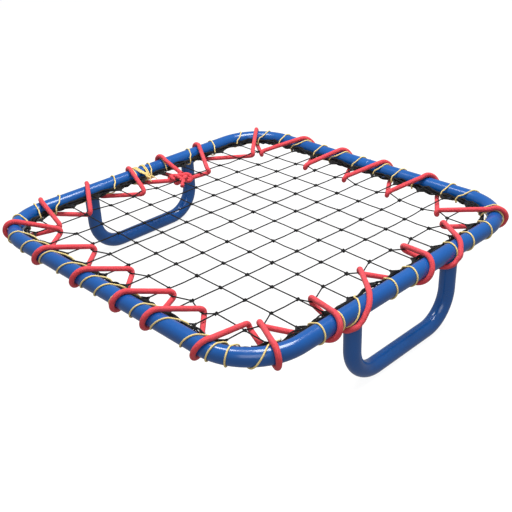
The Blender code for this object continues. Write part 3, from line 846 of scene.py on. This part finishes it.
def add_loose_end(shell, start, end):
    """A fine fibre that stands out of the gathered edge."""
    distance = chance.uniform(start + 0.004, end - 0.004)
    angle = chance.uniform(-0.6 * math.pi, 0.75 * math.pi)
    tip_angle = angle + chance.uniform(-0.5, 0.5)
    root = in_edge(distance, 0.003, 0.0035, angle)
    reach = chance.uniform(0.0055, 0.0078)
    tip = in_edge(distance + chance.uniform(-0.004, 0.004), reach, reach, tip_angle)
    bend = (root + tip) / 2 + Vector((0, 0, chance.uniform(0, 0.0012)))
    line = softened([root, bend, tip], 0.003, 0.0005)
    shell.tube(rings_round(line, np.linspace(0.00030, 0.00012, len(line)), 5))


def make_edge(side, twine, cinches):
    """The gathered meshes and head rope along one side: loose twines wound round each other."""
    shell = Shell()
    gap = 0.0003
    start = side * QUARTER - QUARTER / 2 + gap
    end = side * QUARTER + QUARTER / 2 - gap
    steps = int((end - start) / 0.0022)
    for strand in range(EDGE_STRANDS):
        seeds = [(chance.uniform(0, math.tau), chance.uniform(0.7, 1.4)) for _ in range(3)]
        line = []
        for k in range(steps + 1):
            distance = start + (end - start) * k / steps
            near = min(abs(distance - place) for place in cinches)
            loose = 1 - math.exp(-(near / TIE_REACH) ** 2)
            angle = (strand * math.tau / EDGE_STRANDS + distance * 26.0
                     + 1.3 * waves(distance, seeds, 55.0))
            out = 0.0015 + 0.0019 * loose + (0.0004 + 0.0014 * loose) * waves(distance, seeds, 150.0)
            if strand == 0:
                out *= 0.3
            line.append(in_edge(distance, 1.06 * out, 1.22 * out, angle))
        shell.tube(rings_round(np.array([tuple(point) for point in line]), EDGE_TWINE, 7))
    for _ in range(LOOSE_ENDS):
        add_loose_end(shell, start, end)
    return shell.finish(f"net_edge_{SIDES[side]}_bunch", twine)


# ---- bungee ---------------------------------------------------------------------------------
def leaving_angle(distance, target, way):
    """The angle round the tube where a taut cord leaves it for a target point."""
    point, inward = rim_at(distance)
    across = (target - point).dot(inward)
    up = target.z - RIM_Z
    return math.atan2(up, across) + way * math.acos(BUNGEE_WRAP / math.hypot(across, up))


def clear_of_legs(point):
    """Move a point of a turn that would be inside a handle's leg or weld out to its surface."""
    if point.z > RIM_Z:
        return point
    for x in (-RIM_SIDE / 2, RIM_SIDE / 2):
        for y in (-LEG_SPACING / 2, LEG_SPACING / 2):
            away = Vector((point.x - x, point.y - y, 0))
            over_bead = min(max((abs(away.y) / away.length - 0.35) * 4, 0), 1)
            short = LEG_CLEAR + BEAD_CLEAR * over_bead - away.length
            if short > 0:
                point = point + away.normalized() * short
    return point


def wrap_points(index):
    """The turn round the outside of the tube that comes before a loop, from under to over."""
    before = BUNGEE_LOOPS[index - 1]
    loop = BUNGEE_LOOPS[index]
    start = round_rim(before[0], before[4])
    end = round_rim(loop[0], loop[1])
    if end < start - QUARTER:
        start -= LAP
    first = leaving_angle(start, loop_tip(before), -1) + math.tau
    last = leaving_angle(end, loop_tip(loop), 1)
    steps = 44
    points = []
    for k in range(steps + 1):
        share = k / steps
        points.append(clear_of_legs(on_circle(start + (end - start) * share, BUNGEE_WRAP,
                                              first + (last - first) * share)))
    return points


def hook_points(over, tip, under):
    """The loop round a strand: over the strand, round its far side and back under it."""
    way_in = (tip - over).normalized()
    way_out = (under - tip).normalized()
    onward = way_in + way_out
    onward.z = 0
    lean = onward.normalized() * HOOK_LEAN * min(onward.length, 1.0)
    rise = Vector((0, 0, HOOK_RISE))
    top = tip - lean + rise
    bottom = tip + lean - rise
    way_in = (top - over).normalized()
    way_out = (under - bottom).normalized()
    strength = 8 * HOOK_BULGE / (way_in - way_out).length
    steps = 20
    points = []
    for k in range(steps + 1):
        u = k / steps
        points.append(top * (2 * u**3 - 3 * u**2 + 1) + bottom * (3 * u**2 - 2 * u**3)
                      + way_in * strength * (u**3 - 2 * u**2 + u)
                      + way_out * strength * (u**3 - u**2))
    return points


def bungee_route():
    """The bungee from its knot round the whole rim and back."""
    count = len(BUNGEE_LOOPS)
    knot = Vector((*KNOT_CENTRE, NET_Z))
    points = [knot + Vector((-0.004, -0.004, -0.004))]
    for step in range(1, count):
        index = (KNOT_LOOP + step) % count
        wrap = wrap_points(index)
        if step == count - 1:
            onward = knot + Vector((0.006, 0.007, -0.003))
        else:
            onward = wrap_points((index + 1) % count)[0]
        points += wrap + hook_points(wrap[-1], loop_tip(BUNGEE_LOOPS[index]), onward)
    points.append(onward)
    return points


def anchor_route():
    """The loop of the bungee round the tube that holds its knot."""
    knot = Vector((*KNOT_CENTRE, NET_Z))
    return ([knot + Vector((-0.006, 0.004, -0.004))] + wrap_points(KNOT_LOOP)
            + [knot + Vector((-0.007, 0.005, 0.005))])


def axis_beside(point):
    """The point of the tube's centreline beside a point near it, as if the corners were square."""
    limit = RIM_SIDE / 2 - TUBE_RADIUS
    axis = Vector((min(max(point[0], -limit), limit), min(max(point[1], -limit), limit), RIM_Z))
    if abs(point[0]) > abs(point[1]):
        axis.x = math.copysign(RIM_SIDE / 2, point[0])
    else:
        axis.y = math.copysign(RIM_SIDE / 2, point[1])
    return axis


def raised(line, other, room):
    """Lift a line away from the tube where it would lie in the cord that it crosses."""
    tree = KDTree(len(other))
    for k, point in enumerate(other):
        tree.insert(point, k)
    tree.balance()
    line = line.copy()
    for _ in range(4):
        lifts = np.zeros_like(line)
        for k, point in enumerate(line):
            nearest, _, gap = tree.find(point)
            if gap < room:
                away = (Vector(point) - axis_beside(point)).normalized()
                reach = (Vector(point) - nearest).dot(away)
                lifts[k] = away * (math.sqrt(max(reach ** 2 + room ** 2 - gap ** 2, 0)) - reach)
        line += blurred(lifts, 6, "same")
    return line


def make_bungee(red, lashing_line):
    """The red cord in four quarters, and the loop that anchors its knot."""
    shells = [Shell() for _ in SIDES]
    room = BUNGEE_RADIUS + LASHING_RADIUS - 0.0002
    line = raised(even(softened(bungee_route(), 0.007, 0.0005), 0.0010), lashing_line, room)
    line = even(softened(line, 0.004, 0.0007), 0.0016)
    number = np.arange(len(line))
    squeeze = 1 + 0.02 * np.sin(number * 0.11) + 0.012 * np.sin(number * 0.53)
    add_by_sector_uneven(shells, line, BUNGEE_RADIUS * squeeze, 16)
    pieces = [shell.finish("bungee_" + side, red) for shell, side in zip(shells, SIDES)]
    anchor = Shell()
    line = raised(even(softened(anchor_route(), 0.007, 0.0005), 0.0010), lashing_line, room)
    anchor.tube(rings_round(even(line, 0.0016), BUNGEE_RADIUS * 0.98, 16))
    return pieces, anchor.finish("bungee_anchor", red)


def make_end_knot(red):
    """The knot of the cord's two ends: a big and a small lump of turns, and two short cut ends."""
    centre = np.array((*KNOT_CENTRE, NET_Z - 0.0005))
    spin = np.array(Matrix.Rotation(math.radians(40), 3, "Z"))
    radius = BUNGEE_RADIUS * 0.95
    shape = trefoil(110, 1.15)
    shell = Shell()
    for size, shift, twirl in (((0.0056, 0.0036, 0.0042), (0.0, 0.0, 0.0), 0.0),
                               ((0.0040, 0.0030, 0.0032), (-0.0090, 0.0005, -0.0010), 0.9)):
        turned_over = np.array(Matrix.Rotation(twirl, 3, "X"))
        line = ((shape * np.array(size)) @ turned_over.T + np.array(shift)) @ spin.T + centre
        shell.tube(rings_round(line, radius, 16, closed=True), closed=True)
    ends = (
        ((0.004, -0.002, 0.001), (0.012, -0.008, 0.0), (0.018, -0.015, -0.002),
         (0.022, -0.020, -0.004)),
        ((-0.010, -0.002, 0.001), (-0.017, -0.006, 0.001), (-0.023, -0.009, -0.001),
         (-0.028, -0.010, -0.004)),
    )
    for end in ends:
        line = softened([centre + np.array(point) for point in end], 0.008, 0.0006)
        radii = np.full(len(line), radius)
        radii[-2:] *= (0.97, 0.80)
        shell.tube(rings_round(line, radii, 16))
    return shell.finish("bungee_end_knot", red)


# ---- lashing --------------------------------------------------------------------------------
def run_along(way, start, end):
    """Points of one of the ways past the net's edge, between two distances round the rim."""
    return [rim_offset(start + (end - start) * share, inward, up) for inward, up, share in way]


def passes_leg(start, end):
    """Whether a handle's leg stands between two distances round the rim."""
    legs = [side * QUARTER + half * LEG_SPACING for side in (0, 2) for half in (-0.5, 0.5)]
    return any((leg - start) % LAP < end - start for leg in legs)


def lashing_turn(inside, under, over, next_inside):
    """One turn: under the edge, round the outside of the tube and over the edge."""
    points = run_along(PAST_LEG if passes_leg(inside, under) else UNDER_EDGE, inside, under)
    steps = 36
    for k in range(steps + 1):
        share = k / steps
        angle = LASHING_UNDER + (LASHING_TOP - LASHING_UNDER) * share
        points.append(on_circle(under + (over - under) * share, LASHING_WRAP, angle))
    return points + run_along(OVER_EDGE, over, next_inside)


def lashing_route():
    """The yellow cord from its hitch round the whole rim and back."""
    points = []
    inside = round_rim(2, HITCH_TURNS[-1][2] + 3)
    laps = 0
    last_over = inside
    for side, *places in LASHING_TURNS:
        under, over, next_inside = (round_rim(side, place) + laps * LAP for place in places)
        if over < last_over - QUARTER:
            laps += 1
            under, over, next_inside = (place + LAP for place in (under, over, next_inside))
        points += lashing_turn(inside, under, over, next_inside)
        inside = next_inside
        last_over = over
    return points


def hitch_route():
    """The turns, close together, that tie the yellow cord off."""
    points = []
    inside = round_rim(2, HITCH_TURNS[1][0])
    for places in HITCH_TURNS:
        under, over, next_inside = (round_rim(2, place) for place in places)
        points += lashing_turn(inside, under, over, next_inside)
        inside = next_inside
    return points


def cord_line(points):
    """The lashing's smooth centreline through the points of its route."""
    return even(softened(points, 0.005, 0.0004), 0.0009)


def make_lashing(yellow, line):
    """The yellow cord's turns round the whole rim."""
    shell = Shell()
    shell.tube(rings_round(line, LASHING_RADIUS, 9))
    return shell.finish("lashing_yellow", yellow)


def make_hitch(yellow):
    """The yellow cord's close turns, the lump that ties them and its two tails."""
    shell = Shell()
    shell.tube(rings_round(cord_line(hitch_route()), LASHING_RADIUS, 9))
    gather = rim_offset(round_rim(2, -1), 0.0245, 0.0005)
    for reach, drop, aside in ((0.014, -0.004, 0.006), (0.010, -0.007, -0.005)):
        end = gather + Vector((reach, aside, drop))
        middle = (gather + end) / 2 + Vector((0, 0, 0.003))
        line = softened([gather, middle, end], 0.006, 0.0005)
        shell.tube(rings_round(line, np.linspace(LASHING_RADIUS, LASHING_RADIUS * 0.6, len(line)), 9))
    upright = Matrix.Rotation(math.radians(75), 3, "Y")
    lump = trefoil(60, 1.3) * 0.0012 @ np.array(upright).T + np.array(gather)
    shell.tube(rings_round(lump, LASHING_RADIUS, 9, closed=True), closed=True)
    return shell.finish("lashing_hitch_turns", yellow)


# ---- the whole model ------------------------------------------------------------------------
def stands_for(piece, slot, *nodes):
    """Hide the nodes of the CAD model that a piece replaces; its slot is not used."""
    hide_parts(*nodes)


def gives(piece):
    """Bake the placement of a piece of one quarter into its mesh."""
    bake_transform(piece)


def make_steel(paint):
    """The painted pieces, each with the slot and the node that it stands for."""
    pieces = [(make_rim(paint), "blue_paint", "rim_tube"),
              (make_seam(paint), "blue_paint", "rim_seam_weld")]
    for name, way in (("right", 1), ("left", -1)):
        handle = make_handle(f"handle_{name}_painted", way, paint)
        pieces.append((handle, "blue_paint", "handle_" + name))
        for leg, leg_way in (("front", -1), ("back", 1)):
            for face, face_way in (("outer", leg_way), ("inner", -leg_way)):
                node = f"weld_{name}_{leg}_{face}"
                bead = make_bead(node + "_bead", way, leg_way, face_way, paint)
                pieces.append((bead, "blue_paint", node))
    return pieces


def build():
    """The studio and every piece, the rigid ones riding on the frame."""
    add_camera()
    add_studio()
    paint = paint_finish()
    # The first colour of each cord is painted shade for the grooves between its yarns.
    red = braid_finish("red_sheath_braid", painted_groove_shade=(0.46, 0.020, 0.030, 1), light=(0.86, 0.070, 0.092, 1),
                       faded=(0.88, 0.095, 0.120, 1), strands=14, lay=0.018)
    yellow = twist_finish("yellow_laid_cord", painted_groove_shade=(0.46, 0.27, 0.050, 1), light=(0.92, 0.72, 0.280, 1),
                          faded=(0.94, 0.78, 0.360, 1), strands=3, pitch=0.0075, rough=0.55)
    black = twist_finish("black_net_twine", painted_groove_shade=(0.002, 0.002, 0.002, 1), light=(0.009, 0.009, 0.010, 1),
                         faded=(0.016, 0.016, 0.017, 1), strands=3, pitch=0.0060, rough=0.75)

    rigid = make_steel(paint)
    lashing_line = cord_line(lashing_route())
    cinches = [round_rim(side, inner) % LAP for side, _, _, inner in LASHING_TURNS]
    cinches += [round_rim(2, inner) for _, _, inner in HITCH_TURNS]
    cinches += [place + lap * LAP for place in cinches for lap in (-1, 1)]
    for side, name in enumerate(SIDES):
        rigid.append((make_edge(side, black, cinches), "black_twine", "net_edge_" + name))
    rigid.append((make_lashing(yellow, lashing_line), "yellow_cord", "lashing_cord"))
    rigid.append((make_hitch(yellow), "yellow_cord", "lashing_hitch"))
    for piece, slot, node in rigid:
        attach(piece, "frame")
        stands_for(piece, slot, node)

    for side, piece in enumerate(make_net(black)):
        gives(piece)
        stands_for(piece, "black_twine", "net")
    quarters, anchor = make_bungee(red, lashing_line)
    for side, piece in enumerate(quarters):
        gives(piece)
        stands_for(piece, "red_sheath", "bungee_cord")
    for piece, node in ((anchor, "bungee_anchor_loop"), (make_end_knot(red), "bungee_knot")):
        gives(piece)
        stands_for(piece, "red_sheath", node)


build()
